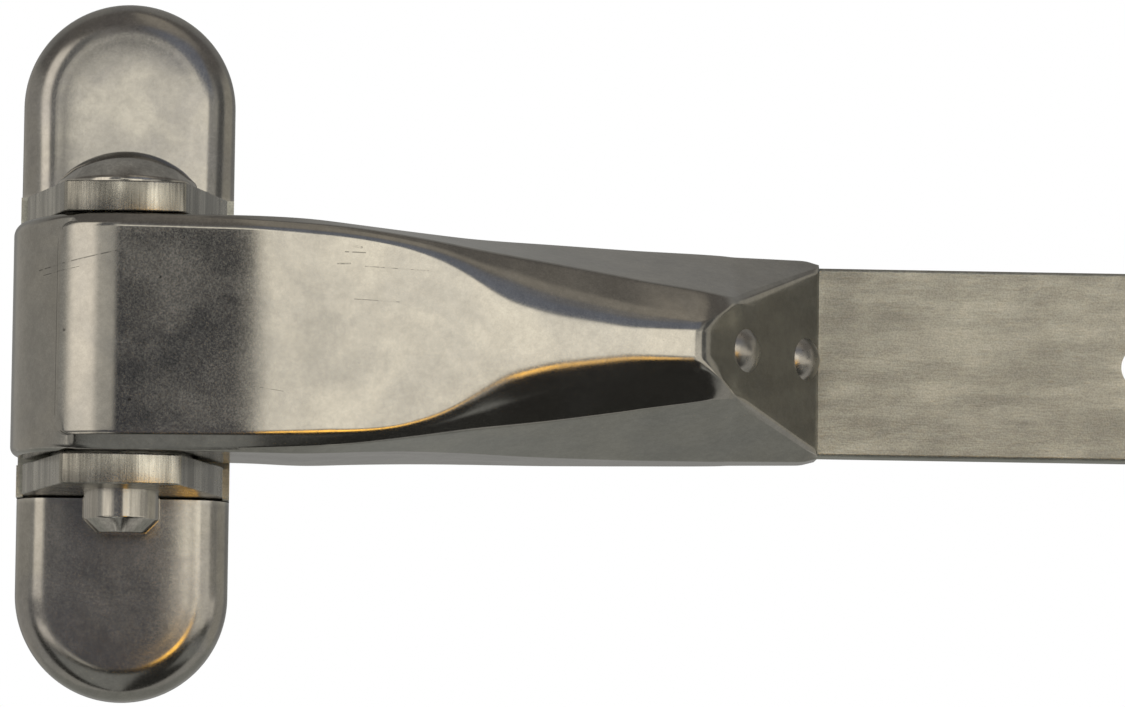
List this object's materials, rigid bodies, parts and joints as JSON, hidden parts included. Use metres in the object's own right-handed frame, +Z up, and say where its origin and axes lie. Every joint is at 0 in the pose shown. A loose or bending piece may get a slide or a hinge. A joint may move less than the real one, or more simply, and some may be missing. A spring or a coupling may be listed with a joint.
{
  "type": "strap hinge",
  "caption": "Capped wall bracket with lugs and a headed hinge pin, and a pressed arm with a raised rib riveted to a drilled flat blade that swings about the pin.",
  "frame": {"origin": "centre of the bracket's flat back face", "axes": "+X along the closed arm towards the blade's end, +Y into the wall, +Z up along the pin"},
  "size_m": [0.3492, 0.0522, 0.1476],
  "materials": {
    "cover_steel": "satin, fine tumbled grain",
    "arm_steel": "satin, fine tumbled grain with light scratches",
    "lug_steel": "ground, with vertical grain on its edge",
    "plate_steel": "mill finish",
    "blade_steel": "dull mill finish with fine lengthwise grain",
    "pin_steel": "turned and polished",
    "rivet_steel": "polished",
    "washer_steel": "plain",
    "tube_steel": "turned",
    "spring_steel": "plain",
    "weld_steel": "rippled weld metal",
    "bush_nylon": "natural nylon"
  },
  "bodies": {
    "bracket": {"base_plate": "plate_steel", "upper_lug": "lug_steel", "lower_lug": "lug_steel", "upper_lug_weld": "weld_steel", "lower_lug_weld": "weld_steel", "upper_cover": "cover_steel", "lower_cover": "cover_steel", "upper_cover_clip": "spring_steel", "lower_cover_clip": "spring_steel", "hinge_pin": "pin_steel"},
    "arm": {"arm_shell": "arm_steel", "knuckle_tube": "tube_steel", "knuckle_welds": "weld_steel", "upper_bush": "bush_nylon", "lower_bush": "bush_nylon", "upper_thrust_washer": "washer_steel", "lower_thrust_washer": "washer_steel", "hinge_blade": "blade_steel", "inner_rivet": "rivet_steel", "inner_rivet_washer": "washer_steel", "outer_rivet": "rivet_steel", "outer_rivet_washer": "washer_steel"}
  },
  "joints": [
    {"name": "arm_swing", "type": "hinge", "parent": "bracket", "child": "arm", "pos_m": [0, -0.028, 0], "axis": [0, 0, -1], "range_deg": [0, 180]}
  ]
}
